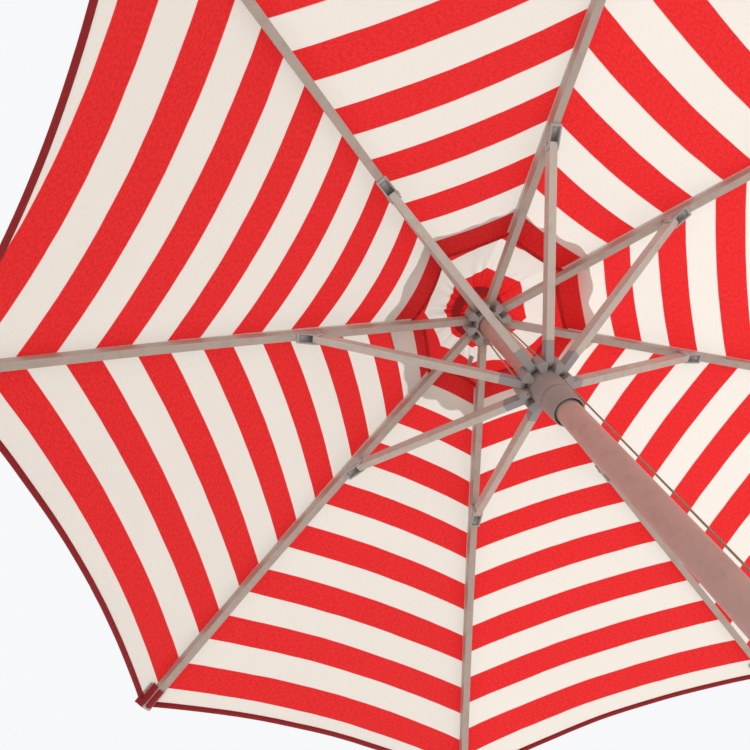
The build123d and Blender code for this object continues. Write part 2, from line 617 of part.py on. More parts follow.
def lift_cord():
    """Cord knotted under the runner, led over the pulley and down to the cleat."""
    slant = cord_slant()
    plane = Plane(origin=(0, 0, SHEAVE_Z), x_dir=(1, 0, 0), z_dir=(0, -1, 0))
    knot_z = RUNNER_LUG_BASE_Z - KNOT_RADIUS
    guide_z = RUNNER_LUG_BASE_Z - 2 * CORD_DIAMETER
    cleat_out = CLEAT_BAR_AT - CLEAT_BAR_RADIUS - CORD_RADIUS - PLUG_CLEARANCE
    cleat_z = CLEAT_Z + CLEAT_STEM / 2 + PLUG_CLEARANCE
    over = CenterArc((0, 0), SHEAVE_PITCH_RADIUS, 180 - slant, -(180 - 2 * slant))
    hoist = Line((-cord_at(knot_z), knot_z - SHEAVE_Z), over @ 0)
    fall = FilletPolyline(
        over @ 1,
        (cord_at(guide_z), guide_z - SHEAVE_Z),
        (cleat_out, cleat_z - SHEAVE_Z),
        radius=NECK_LENGTH * 4,
    )
    path = plane * (hoist + over + fall)
    start = Plane(origin=path @ 0, z_dir=path % 0)
    rope = sweep(start * Circle(CORD_RADIUS), path=path)
    knot = Pos(-cord_at(knot_z), 0, knot_z) * Sphere(KNOT_RADIUS)
    return Rot(0, 0, CORD_AT) * (rope + knot)


# ---- cleat ----
def cord_cleat():
    """Horn cleat with a foot shaped to the pole."""
    foot_out = POLE_RADIUS + CLEAT_FOOT_THICKNESS
    foot = Pos(foot_out / 2, 0, CLEAT_Z) * Box(foot_out, CLEAT_WIDTH, CLEAT_FOOT)
    stem = Pos(CLEAT_BAR_AT / 2, 0, CLEAT_Z) * Box(CLEAT_BAR_AT, CLEAT_WIDTH / 2, CLEAT_STEM)
    bar = Pos(CLEAT_BAR_AT, 0, CLEAT_Z) * Cylinder(CLEAT_BAR_RADIUS, CLEAT_LENGTH)
    bar = fillet(bar.edges().filter_by(GeomType.CIRCLE), CLEAT_BAR_RADIUS * 0.8)
    cleat = foot + stem + bar - Pos(0, 0, CLEAT_Z) * Cylinder(POLE_RADIUS, 2 * CLEAT_LENGTH)
    return Rot(0, 0, CORD_AT) * cleat - cleat_screw_shanks(CLEAT_SCREW_RADIUS)


def cleat_screw_places():
    """Places on the foot's face, with local Z pointing away from the pole."""
    offset = (CLEAT_FOOT + CLEAT_STEM) / 4
    out = POLE_RADIUS + CLEAT_FOOT_THICKNESS
    turn = Rot(0, 0, CORD_AT)
    return [turn * Pos(out, 0, CLEAT_Z + side * offset) * Rot(0, 90, 0) for side in (-1, 1)]


def cleat_screw_shanks(radius):
    shank = Pos(0, 0, -CLEAT_SCREW_LENGTH / 2) * Cylinder(radius, CLEAT_SCREW_LENGTH)
    return [place * shank for place in cleat_screw_places()]


def cleat_screws():
    """Two screws above and below the cleat's stem, through its foot into the pole."""
    head = Pos(0, 0, CLEAT_SCREW_HEAD / 2) * Cylinder(CLEAT_SCREW_HEAD_RADIUS, CLEAT_SCREW_HEAD)
    shanks = cleat_screw_shanks(CLEAT_SCREW_RADIUS)
    screws = [shank + place * head for shank, place in zip(shanks, cleat_screw_places())]
    return Compound(children=screws)


def save(shape, name):
    export_step(shape, f"parts/{name}.step")


def main():
    os.makedirs("parts", exist_ok=True)
    singles = [
        pole_lower, pole_upper, pole_spigot, foot_plug, joint_collar, clamp_knob, crown_hub,
        crown_pins, runner, canopy, vent_cap, pulley_wheel, pulley_axle, finial, lift_cord,
        cord_cleat, cleat_screws,
    ]
    for make in singles:
        save(make(), make.__name__)
    repeated = {"rib": rib, "tip": rib_tip, "bracket": rib_bracket, "strut": strut, "strut_end": strut_end}
    for suffix, make in repeated.items():
        shape = make()
        for index in range(RIB_COUNT):
            save(turned(shape, index), f"{suffix}_{index + 1}")


main()
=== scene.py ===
import json
import math
from collections import namedtuple

import bpy
from bpy.props import FloatProperty, FloatVectorProperty, IntProperty, PointerProperty
from mathutils import Euler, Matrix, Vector, noise

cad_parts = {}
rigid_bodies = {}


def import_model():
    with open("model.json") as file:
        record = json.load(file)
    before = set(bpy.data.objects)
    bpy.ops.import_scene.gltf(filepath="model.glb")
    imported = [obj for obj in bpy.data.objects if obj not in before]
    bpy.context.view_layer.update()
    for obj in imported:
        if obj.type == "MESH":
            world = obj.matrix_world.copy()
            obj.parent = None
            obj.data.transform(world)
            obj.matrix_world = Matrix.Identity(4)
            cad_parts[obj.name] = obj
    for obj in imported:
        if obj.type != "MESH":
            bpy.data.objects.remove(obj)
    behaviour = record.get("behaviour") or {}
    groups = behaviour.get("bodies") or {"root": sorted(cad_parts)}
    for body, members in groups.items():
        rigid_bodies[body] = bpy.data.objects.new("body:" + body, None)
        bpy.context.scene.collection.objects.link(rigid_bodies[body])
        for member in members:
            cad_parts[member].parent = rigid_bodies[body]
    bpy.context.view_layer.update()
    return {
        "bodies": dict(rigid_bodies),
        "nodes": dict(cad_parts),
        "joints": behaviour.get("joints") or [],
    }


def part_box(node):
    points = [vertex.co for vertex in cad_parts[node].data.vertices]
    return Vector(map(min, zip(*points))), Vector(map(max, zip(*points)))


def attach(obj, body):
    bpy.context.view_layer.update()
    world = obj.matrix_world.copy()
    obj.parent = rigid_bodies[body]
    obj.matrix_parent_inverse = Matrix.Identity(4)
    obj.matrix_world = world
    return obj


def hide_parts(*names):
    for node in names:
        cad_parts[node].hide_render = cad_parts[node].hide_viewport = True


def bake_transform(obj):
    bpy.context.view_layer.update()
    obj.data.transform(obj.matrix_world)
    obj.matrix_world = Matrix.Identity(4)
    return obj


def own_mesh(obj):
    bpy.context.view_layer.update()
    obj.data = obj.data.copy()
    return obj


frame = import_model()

bl_info = {
    "name": "Beach Umbrella Dressing",
    "version": (1, 0, 0),
    "blender": (4, 5, 0),
    "location": "View3D > Sidebar > Umbrella",
    "description": "Cloth, cord and finishes for a striped beach umbrella",
    "category": "Object",
}

# ---- the frame: metres, +Z up, origin on the pole's axis at its lower end ----
JOINTS = {joint["name"]: joint for joint in frame["joints"]}
RIB_COUNT = sum(1 for name in frame["bodies"] if name.startswith("rib_"))
PITCH = math.tau / RIB_COUNT
CROWN = Vector(JOINTS["rib_1_fold"]["pos_m"])
RUNNER_LOW, RUNNER_HIGH = (Vector(corner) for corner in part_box("runner"))
SHEAVE = Vector(JOINTS["pulley_turn"]["pos_m"])
CORD_PLANE = math.atan2(-JOINTS["pulley_turn"]["axis"][0], JOINTS["pulley_turn"]["axis"][1])
CAP_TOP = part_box("vent_cap")[1][2]

# How one panel's stripes lie against the pattern: metres of shift at the panel's first rib,
# what is added across to its second, the gain of both per metre down the rib, the bow in
# mid panel, and the place in the pattern where the vent opening was cut.
PanelCut = namedtuple("PanelCut", "start skew gain twist bow opening")
PANEL_CUTS = {
    1: PanelCut(0.030, 0.0, 0.0, 0.0, 0.0, 0.116),
    2: PanelCut(0.004, 0.0, 0.0, 0.0, 0.0, 0.116),
    3: PanelCut(-0.018, -0.001, -0.005, -0.012, 0.0, 0.116),
    4: PanelCut(-0.008, -0.002, 0.0, -0.008, 0.0, 0.118),
    5: PanelCut(-0.008, -0.018, -0.016, 0.004, 0.0, 0.136),
    6: PanelCut(0.027, 0.004, 0.018, -0.075, -0.010, 0.114),
    7: PanelCut(0.057, 0.010, 0.014, 0.075, 0.0, 0.114),
    8: PanelCut(0.066, -0.020, 0.130, -0.120, 0.0, 0.114),
}


# =====================================================================
# Settings
# =====================================================================
def size(name, description, default):
    return FloatProperty(
        name=name, description=description, default=default, unit="LENGTH", precision=4
    )


def share(name, description, default):
    return FloatProperty(name=name, description=description, default=default, precision=3)


def angle(name, description, degrees):
    return FloatProperty(
        name=name, description=description, default=math.radians(degrees), subtype="ANGLE"
    )


def colour(name, description, default):
    return FloatVectorProperty(
        name=name, description=description, default=default, size=3, subtype="COLOR", min=0, max=1
    )


class CanopySettings(bpy.types.PropertyGroup):
    """Sizes and colours of the striped cloth"""

    slope: angle("Rib slope", "Fall of the ribs below the horizontal", 21.4)
    bend: angle("Rib bend", "Extra fall between the bracket and the hem", 4.4)
    bend_at: size("Bend at", "Distance along the rib where the bend starts", 0.459)
    hem_at: size("Hem at", "Distance along the rib to the hem", 1.1)
    above_inner: size("Height at crown", "Cloth above the rib's middle at the crown", 0.0292)
    above_outer: size("Height at hem", "Cloth above the rib's middle at the hem", 0.0132)
    sag: share("Panel dip", "Inward dip of a panel as a share of its width", 0.022)
    rise: share("Panel rise", "Height gained in mid panel as a share of its width", 0.006)
    scallop: size("Scallop", "Inward curve of the hem in mid panel", 0.018)
    scallop_from: size("Scallop from", "Distance along the rib where the curve starts", 0.8)
    stripe: size("Stripe width", "Width of one woven stripe", 0.064)
    stripe_from: size("First stripe", "Outer edge of the innermost red stripe", 0.174)
    hem_width: size("Hem width", "Width of the folded hem", 0.0125)
    wrinkle: size("Wrinkles", "Height of the slack in the cloth", 0.0022)
    red: colour("Red", "Red yarn", (0.74, 0.018, 0.0205))
    cream: colour("Cream", "Undyed yarn", (0.815, 0.768, 0.715))
    hem_red: colour("Hem", "Hem binding", (0.36, 0.008, 0.014))


class CapSettings(bpy.types.PropertyGroup):
    """Sizes of the vent cap"""

    inner: size("Eye", "Radius of the hole round the finial's neck", 0.008)
    edge_at: size("Edge at", "Distance along the rib to the cap's edge", 0.216)
    edge_off: size("Edge off centre", "How far the cap lies to one side", 0.024)
    lift: size("Lift", "Height of the edge over the canopy", 0.016)
    wave: size("Edge waves", "Depth of the waves in the loose edge", 0.012)
    gather: size("Gathers", "Height of the folds gathered at the finial", 0.010)
    centre: size("Red centre", "Mean radius of the red centre", 0.107)
    centre_off: size("Centre offset", "How far the red centre is sewn off the axis", 0.022)
    ring: size("Red ring", "Mean inner radius of the outer red ring", 0.165)
    ring_off: size("Ring offset", "How far the red ring is sewn off the axis", 0.044)


class FittingSettings(bpy.types.PropertyGroup):
    """Colours of the metal and plastic parts and of the cord"""

    rib: colour("Ribs", "Champagne anodised tube", (0.45, 0.375, 0.33))
    strut: colour("Struts", "Paler anodised tube", (0.53, 0.47, 0.42))
    pole: colour("Pole", "Coated pole tube", (0.55, 0.38, 0.34))
    hub: colour("Hub", "Moulded hub and runner", (0.30, 0.27, 0.26))
    bracket: colour("Brackets", "Moulded strut brackets", (0.36, 0.345, 0.335))
    strut_end: colour("Strut ends", "Moulded strut ends", (0.24, 0.225, 0.225))
    cord: colour("Cord", "Braided lift cord", (0.52, 0.42, 0.30))
    cord_diameter: size("Cord", "Diameter of the lift cord", 0.0035)
    cord_guide: size("Cord guide", "Pole axis to the cord at the runner's top", 0.037)
    sheave_pitch: size("Sheave", "Radius of the cord's path over the pulley", 0.027)
    neck_length: size("Neck", "Length of the runner's neck below its lugs", 0.103)
    knot_below: size("Knot below", "End of the hoisting run to the knot's middle", 0.0045)
    cleat_inset: size("Cleat inset", "Cleat's far corner to the cord, inwards", 0.0135)
    tail_above: size("Tail above", "Cleat's middle to the end of the tail", 0.013)


class StageSettings(bpy.types.PropertyGroup):
    """Camera, light and floor"""

    camera_place: FloatVectorProperty(
        name="Camera", description="Camera relative to the rib pivots' centre",
        default=(-0.0590, -0.7775, -1.5456), subtype="TRANSLATION",
    )
    bearing: angle("Bearing", "Camera bearing", 108.10)
    pitch: angle("Pitch", "Camera pitch upwards", 64.39)
    roll: angle("Roll", "Camera roll", -22.18)
    lens: share("Lens", "Focal length in millimetres", 33.78)
    sun_bearing: angle("Key bearing", "Bearing of the key light", 37.8)
    sun_height: angle("Key height", "Height of the key light", 68.5)
    sun_angle: angle("Key width", "Apparent width of the key light", 9.0)
    sun_power: share("Key strength", "Strength of the key light", 3.15)
    sky_power: share("Fill strength", "Strength of the surrounding light", 0.44)
    floor_width: size("Floor", "Width of the floor", 14.0)
    floor_colour: colour("Floor colour", "Pale floor", (0.80, 0.79, 0.77))


# =====================================================================
# Shader nodes as expressions
# =====================================================================
class Value:
    """A socket on which + - * / add Math nodes."""

    def __init__(self, finish, socket):
        self.finish = finish
        self.socket = socket

    def math(self, operation, first, second=None):
        inputs = {0: first} if second is None else {0: first, 1: second}
        return self.finish.node("Math", {"operation": operation}, inputs)

    def __add__(self, other):
        return self.math("ADD", self, other)

    __radd__ = __add__

    def __sub__(self, other):
        return self.math("SUBTRACT", self, other)

    def __rsub__(self, other):
        return self.math("SUBTRACT", other, self)

    def __mul__(self, other):
        return self.math("MULTIPLY", self, other)

    def __truediv__(self, other):
        return self.math("DIVIDE", self, other)

    def __abs__(self):
        return self.math("ABSOLUTE", self)

    def fraction(self):
        return self.math("FRACT", self)

    def step(self, low, high):
        """0 below low, 1 above high, smooth between them."""
        inputs = {"Value": self, "From Min": low, "From Max": high}
        return self.finish.node("MapRange", {"interpolation_type": "SMOOTHSTEP"}, inputs)


class Finish:
    """One procedural material, built node by node."""

    def __init__(self, name):
        self.material = bpy.data.materials.new(name)
        self.material.use_nodes = True
        self.tree = self.material.node_tree
        self.tree.nodes.clear()

    def node(self, kind, settings=None, inputs=None, output=0):
        node = self.tree.nodes.new("ShaderNode" + kind)
        for key, setting in (settings or {}).items():
            setattr(node, key, setting)
        for key, given in (inputs or {}).items():
            if isinstance(given, Value):
                self.tree.links.new(given.socket, node.inputs[key])
            else:
                node.inputs[key].default_value = given
        return Value(self, node.outputs[output]) if node.outputs else None

    def place(self, kind="Object"):
        return self.node("TexCoord", output=kind)

    def noise(self, scale, detail=2.0, where=None, roughness=0.5):
        inputs = {"Scale": scale, "Detail": detail, "Roughness": roughness}
        inputs["Vector"] = where or self.place()
        return self.node("TexNoise", inputs=inputs)

    def stretched(self, where, stretch):
        return self.node("VectorMath", {"operation": "MULTIPLY"}, {0: where, 1: stretch})

    def blend(self, amount, first, second):
        """Colour that goes from the first to the second."""
        first = first if isinstance(first, Value) else (*first, 1.0)
        second = second if isinstance(second, Value) else (*second, 1.0)
        inputs = {"Factor": amount, 6: first, 7: second}
        return self.node("Mix", {"data_type": "RGBA"}, inputs, output=2)

    def bump(self, height, distance, strength):
        inputs = {"Height": height, "Distance": distance, "Strength": strength}
        return self.node("Bump", inputs=inputs)

    def surface(self, **inputs):
        named = {key.replace("_", " "): value for key, value in inputs.items()}
        return self.node("BsdfPrincipled", inputs=named)

    def mix(self, amount, first, second):
        return self.node("MixShader", inputs={0: amount, 1: first, 2: second})

    def done(self, shader):
        self.node("OutputMaterial", inputs={"Surface": shader})
        return self.material


def dark(tint, amount):
    return tuple(channel * amount for channel in tint)


# =====================================================================
# Finishes
# =====================================================================
def woven_height(finish, cut):
    """Threads, slubs and slack of the cloth as one height."""
    warp = finish.node("TexWave", {"bands_direction": "X"}, {"Vector": cut, "Scale": 300.0})
    weft = finish.node("TexWave", {"bands_direction": "Y"}, {"Vector": cut, "Scale": 300.0})
    slub = finish.noise(90.0, 3.0, finish.stretched(cut, (2.4, 1.0, 1.0)), 0.65)
    return warp * 0.10 + weft * 0.10 + slub


def cloth(name, tint, glow):
    """Plain woven cloth that lets light through."""
    finish = Finish(name)
    cut = finish.place("UV")
    mottle = finish.noise(55.0, 4.0, cut, 0.7)
    shade = finish.blend(mottle.step(0.35, 0.75), dark(tint, 0.86), tint)
    normal = finish.bump(woven_height(finish, cut), 0.0012, 0.5)
    body = finish.surface(Base_Color=shade, Roughness=0.85, Normal=normal, Sheen_Weight=0.15)
    through = finish.node("BsdfTranslucent", inputs={"Color": (*tint, 1.0)})
    return finish.done(finish.mix(glow, body, through))


def striped_cloth(settings):
    """Red and cream stripes woven across the panels; the cut's X runs down the rib."""
    finish = Finish("striped_cloth")
    cut = finish.place("UV")
    along = finish.node("SeparateXYZ", inputs={0: cut})
    wander = finish.noise(14.0, 2.0, cut) - 0.5
    period = 2 * settings.stripe
    place = ((along + wander * 0.0024 - settings.stripe_from) / period).fraction()
    edge = 0.0012 / period
    red = 1.0 - abs(place - 0.75).step(0.25 - edge, 0.25 + edge)

    speckle = finish.noise(160.0, 3.0, finish.stretched(cut, (1.6, 0.8, 1.0)), 0.75)
    cloud = finish.noise(9.0, 3.0, cut)
    fleck = speckle.step(0.50, 0.72)
    cream = finish.blend(fleck, settings.cream, dark(settings.cream, 0.80))
    cream = finish.blend(cloud * 0.5, cream, dark(settings.cream, 0.88))
    red_yarn_and_sparkle = finish.blend(fleck, settings.red, dark(settings.red, 0.50))
    # Pale specks over the red: partly slub in the yarn, partly a painted sparkle highlight of the
    # sun on the cloth.
    painted_sparkle_red = tuple(min(1.0, channel * 1.15 + 0.05) for channel in settings.red)
    red_yarn_and_sparkle = finish.blend(speckle.step(0.56, 0.38) * 0.6, red_yarn_and_sparkle, painted_sparkle_red)
    shade = finish.blend(red, cream, red_yarn_and_sparkle)
    normal = finish.bump(woven_height(finish, cut), 0.0016, 0.55)
    body = finish.surface(Base_Color=shade, Roughness=0.8, Normal=normal, Sheen_Weight=0.12)
    cream_glow = finish.node("BsdfTranslucent", inputs={"Color": (*settings.cream, 1.0)})
    red_glow = finish.node("BsdfTranslucent", inputs={"Color": (*settings.red, 1.0)})
    glow = finish.mix(red, cream_glow, red_glow)
    return finish.done(finish.mix(0.6, body, glow))


def tube_metal(name, tint, roughness, metallic, grain):
    """Drawn and coated tube with fine lines along it and small marks."""
    finish = Finish(name)
    spot = finish.place()
    lines = finish.noise(220.0, 2.0, finish.stretched(spot, grain), 0.6)
    marks = finish.noise(38.0, 4.0, spot, 0.7)
    shade = finish.blend(marks.step(0.42, 0.78), tint, dark(tint, 0.84))
    rough = roughness + (lines - 0.5) * 0.14
    normal = finish.bump(lines, 0.0002, 0.25)
    return finish.done(finish.surface(
        Base_Color=shade, Roughness=rough, Metallic=metallic, Normal=normal
    ))


def moulded(name, tint, roughness=0.46):
    """Grained nylon moulding with paler edges, a painted highlight."""
    finish = Finish(name)
    spot = finish.place()
    grain = finish.noise(900.0, 2.0, spot, 0.6)
    cloud = finish.noise(26.0, 3.0, spot)
    # Paler where the surface is pointy: a painted highlight along the moulding's edges.
    edges = finish.node("NewGeometry", output="Pointiness").step(0.52, 0.60)
    shade = finish.blend(cloud, dark(tint, 0.88), dark(tint, 1.10))
    shade = finish.blend(edges * 0.5, shade, dark(tint, 1.5))
    rough = roughness + (grain - 0.5) * 0.2
    normal = finish.bump(grain, 0.0002, 0.35)
    return finish.done(finish.surface(Base_Color=shade, Roughness=rough, Normal=normal))


def plated_pin():
    finish = Finish("plated_pin")
    wear = finish.noise(120.0, 3.0)
    shade = finish.blend(wear, (0.50, 0.49, 0.47), (0.36, 0.34, 0.32))
    return finish.done(finish.surface(Base_Color=shade, Roughness=0.3 + wear * 0.2, Metallic=1.0))


def braided_cord(tint):
    """Braid of two sets of strands that cross round the cord."""
    finish = Finish("braided_cord")
    cut = finish.place("UV")
    mirrored = finish.stretched(cut, (-1.0, 1.0, 1.0))
    one, two = (
        finish.node("TexWave", {"bands_direction": "DIAGONAL"}, {"Vector": strands, "Scale": 1.0})
        for strands in (cut, mirrored)
    )
    braid = one * two
    shade = finish.blend(braid, dark(tint, 0.62), tint)
    normal = finish.bump(braid, 0.0005, 0.8)
    return finish.done(finish.surface(Base_Color=shade, Roughness=0.85, Normal=normal))


# =====================================================================
# Geometry of the cloth
# =====================================================================
SLACK_WAVES = ((1.0, 7.0), (0.35, 23.0))   # share of the slack's height, waves per metre
SCALLOP_POWER = 1.5
PANEL_OFFSET_IN_CUT = 3.1                  # keeps the panels' cloth from repeating
OPENING_GUESS, OPENING_ROUNDS = 0.12, 6


def rib_line(along, above):
    """Radius and height of a point in a rib's plane, on its bent line."""
    settings = bpy.context.scene.umbrella_canopy
    radius = (settings.hem_at - settings.bend_at) / settings.bend
    turn = max(along - settings.bend_at, 0.0) / radius
    flat = min(along, settings.bend_at) + (radius + above) * math.sin(turn)
    square = above if turn == 0 else (radius + above) * math.cos(turn) - radius
    level_part, fall_part = math.cos(settings.slope), math.sin(settings.slope)
    radius = CROWN.x + flat * level_part + square * fall_part
    return radius, CROWN.z - flat * fall_part + square * level_part


def cloth_above(along):
    settings = bpy.context.scene.umbrella_canopy
    part = along / settings.hem_at
    return settings.above_inner * (1 - part) + settings.above_outer * part


def turned(radius, height, azimuth):
    return Vector((radius * math.cos(azimuth), radius * math.sin(azimuth), height))


def spread(radius, height, panel, across, slack=0.0):
    """Point of a panel, across from 0 on its first rib line to 1 on its second."""
    settings = bpy.context.scene.umbrella_canopy
    first = turned(radius, height, (panel - 1) * PITCH)
    second = turned(radius, height, panel * PITCH)
    chord = (second - first).length
    bulge = 4 * across * (1 - across)
    inward = turned(-1.0, 0.0, (panel - 0.5) * PITCH)
    point = first.lerp(second, across) + inward * (bulge * settings.sag * chord)
    point.z += bulge * settings.rise * chord
    if slack:
        for part, waves in SLACK_WAVES:
            point.z += slack * part * bulge ** 0.5 * noise.noise(point * waves)
    return point


def canopy_point(along, panel, across, raised=0.0):
    settings = bpy.context.scene.umbrella_canopy
    outer = max(along - settings.scallop_from, 0.0) / (settings.hem_at - settings.scallop_from)
    along -= settings.scallop * 4 * across * (1 - across) * outer ** SCALLOP_POWER
    radius, height = rib_line(along, cloth_above(along) + raised)
    part = along / settings.hem_at
    return spread(radius, height, panel, across, settings.wrinkle * part)


def cut_shift(along, panel, across):
    """How far a panel's stripes lie beyond the pattern's place."""
    settings = bpy.context.scene.umbrella_canopy
    cut = PANEL_CUTS[panel]
    down = along - settings.stripe_from - settings.stripe
    shift = cut.start + cut.skew * across + (cut.gain + cut.twist * across) * down
    return shift + cut.bow * 4 * across * (1 - across)


def opening_place(panel, across):
    """Distance along the rib to the edge of the vent opening."""
    along = OPENING_GUESS
    for _ in range(OPENING_ROUNDS):
        along = PANEL_CUTS[panel].opening + cut_shift(along, panel, across)
    return along


def cut_place(along, panel, across, width):
    """Place of a point in the flat cut, in metres."""
    return along - cut_shift(along, panel, across), width + panel * PANEL_OFFSET_IN_CUT


def level(along):
    """Station at one distance along the ribs."""
    return lambda panel, across: along


def down_panel(part, inner_gap=0.0, outer_gap=0.0):
    """Station part of the way from the vent opening to the hem."""
    def station(panel, across):
        inner = opening_place(panel, across) + inner_gap
        outer = bpy.context.scene.umbrella_canopy.hem_at - outer_gap
        return inner + (outer - inner) * part
    return station


def gore_columns(count):
    """Pairs of panel offset and share across that run over one rib's two half panels."""
    before = [(-1, 0.5 + 0.5 * step / count) for step in range(count + 1)]
    after = [(0, 0.5 * step / count) for step in range(count + 1)]
    return before + after


def panel_number(rib, offset):
    return (rib - 1 + offset) % RIB_COUNT + 1


def grid_object(name, rows, columns, finish, closed=False, parted=False):
    """Mesh over rows of (point, cut) pairs; a parted one has its rib's column twice."""
    points = [pair[0] for row in rows for pair in row]
    cuts = [pair[1] for row in rows for pair in row]
    faces = []
    for row in range(len(rows) if closed else len(rows) - 1):
        here, following = row * columns, (row + 1) % len(rows) * columns
        for column in range(columns - 1):
            if parted and column == columns // 2 - 1:
                continue
            faces.append((
                here + column, following + column, following + column + 1, here + column + 1
            ))
    mesh = bpy.data.meshes.new(name)
    mesh.from_pydata(points, [], faces)
    layer = mesh.uv_layers.new(name="Cut")
    for loop in mesh.loops:
        layer.data[loop.index].uv = cuts[loop.vertex_index]
    mesh.polygons.foreach_set("use_smooth", [True] * len(mesh.polygons))
    mesh.materials.append(finish)
    obj = bpy.data.objects.new(name, mesh)
    bpy.context.collection.objects.link(obj)
    return obj


def fold_with_rib(obj, rib):
    """Rides on a rib, with a mesh of its own."""
    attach(obj, f"rib_{rib}")
    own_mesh(obj)


def strip_rows(stations, rib, columns, raised=0.0):
    rows = []
    for station in stations:
        row = []
        for offset, across in columns:
            panel = panel_number(rib, offset)
            along = station(panel, across)
            point = canopy_point(along, panel, across, raised)
            middle = canopy_point(along, panel, 0.0, raised)
            row.append((point, cut_place(along, panel, across, (point - middle).length)))
        rows.append(row)
    return rows


def even(low, high, count):
    return [low + (high - low) * step / count for step in range(count + 1)]


# =====================================================================
# Cloth pieces
# =====================================================================
GORE_ROWS, GORE_COLUMNS = 64, 14       # columns are counted on one side of the rib
CAP_ROWS, CAP_COLUMNS = 36, 22


def canopy_cloth():
    settings = bpy.context.scene.umbrella_canopy
    return bpy.data.materials.get("striped_cloth") or striped_cloth(settings)


def plain_cloth(name, tint, glow):
    return bpy.data.materials.get(name) or cloth(name, tint, glow)


def hem_cloth():
    return plain_cloth("hem_cloth", bpy.context.scene.umbrella_canopy.hem_red, 0.15)


class UMBRELLA_OT_canopy(bpy.types.Operator):
    """Eight striped gores, each centred on its rib, that meet in the middle of the panels"""

    bl_idname = "umbrella.canopy"
    bl_label = "Canopy"

    def execute(self, context):
        settings = context.scene.umbrella_canopy
        columns = gore_columns(GORE_COLUMNS)
        stations = [down_panel(part) for part in even(0.0, 1.0, GORE_ROWS)]
        for rib in range(1, RIB_COUNT + 1):
            rows = strip_rows(stations, rib, columns)
            gore = grid_object(f"gore_{rib}", rows, len(columns), canopy_cloth(), parted=True)
            if rib == 1:
                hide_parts("canopy")
            width = (rows[-1][0][0] - rows[-1][-1][0]).length
            length = settings.hem_at - opening_place(rib, 0.0)
            inner = (rows[0][0][0] - rows[0][-1][0]).length
            (width + inner) / 2 * length
            fold_with_rib(gore, rib)
        return {"FINISHED"}


class UMBRELLA_OT_hems(bpy.types.Operator):
    """Folded dark hem round the outside and a turned edge round the vent opening"""

    bl_idname = "umbrella.hems"
    bl_label = "Hems"

    def execute(self, context):
        settings = context.scene.umbrella_canopy
        columns = gore_columns(GORE_COLUMNS)
        edge, width = settings.hem_at, settings.hem_width
        # sections of the two edges: a distance on the cloth and a height over it
        outer = [(edge - width, -0.0012), (edge - 0.001, -0.0014), (edge + 0.0008, 0.0),
                 (edge - 0.001, 0.0014), (edge - width, 0.0012)]
        outer = [(level(along), raised) for along, raised in outer]
        inner = [(0.008, -0.0008), (0.0, -0.0010), (-0.001, 0.0), (0.0, 0.0010), (0.008, 0.0008)]
        inner = [(down_panel(0.0, gap), raised) for gap, raised in inner]
        for rib in range(1, RIB_COUNT + 1):
            for name, section, finish in (
                ("hem", outer, hem_cloth()), ("vent_edge", inner, canopy_cloth()),
            ):
                rows = [strip_rows([place], rib, columns, raised)[0] for place, raised in section]
                hem = grid_object(
                    f"{name}_{rib}", rows, len(columns), finish, closed=True, parted=True
                )
                fold_with_rib(hem, rib)
        return {"FINISHED"}


class UMBRELLA_OT_seams(bpy.types.Operator):
    """Felled seam along each rib, on the underside of the cloth"""

    bl_idname = "umbrella.seams"
    bl_label = "Rib seams"

    half_width: size("Half width", "Rib line to a seam's edge", 0.0072)
    flat_width: share("Flat part", "Share of a seam's width that lies flat", 0.9)
    from_vent: size("From vent", "Vent opening to a seam's start", 0.012)
    from_hem: size("From hem", "A seam's end to the hem", 0.013)
    below: size("Below", "A seam's face below the cloth", 0.0016)
    edge_below: size("Edge below", "A seam's edges below the cloth", 0.0003)

    def execute(self, context):
        settings = context.scene.umbrella_canopy
        finish = plain_cloth("seam_cloth", settings.cream, 0.30)
        for rib in range(1, RIB_COUNT + 1):
            rows = []
            start = max(opening_place(rib, 0.0), opening_place(panel_number(rib, -1), 1.0))
            for along in even(start + self.from_vent, settings.hem_at - self.from_hem, 48):
                chord = (canopy_point(along, rib, 0) - canopy_point(along, rib, 1)).length
                reach = self.half_width / chord
                inner = reach * self.flat_width
                columns = [(-1, 1 - reach), (-1, 1 - inner), (0, 0.0), (0, inner), (0, reach)]
                row = strip_rows([level(along)], rib, columns, -self.below)[0]
                edges = strip_rows([level(along)], rib, columns, -self.edge_below)[0]
                rows.append([edges[0], *row[1:4], edges[4]])
            seam = grid_object(f"seam_{rib}", rows, 5, finish)
            fold_with_rib(seam, rib)
        return {"FINISHED"}


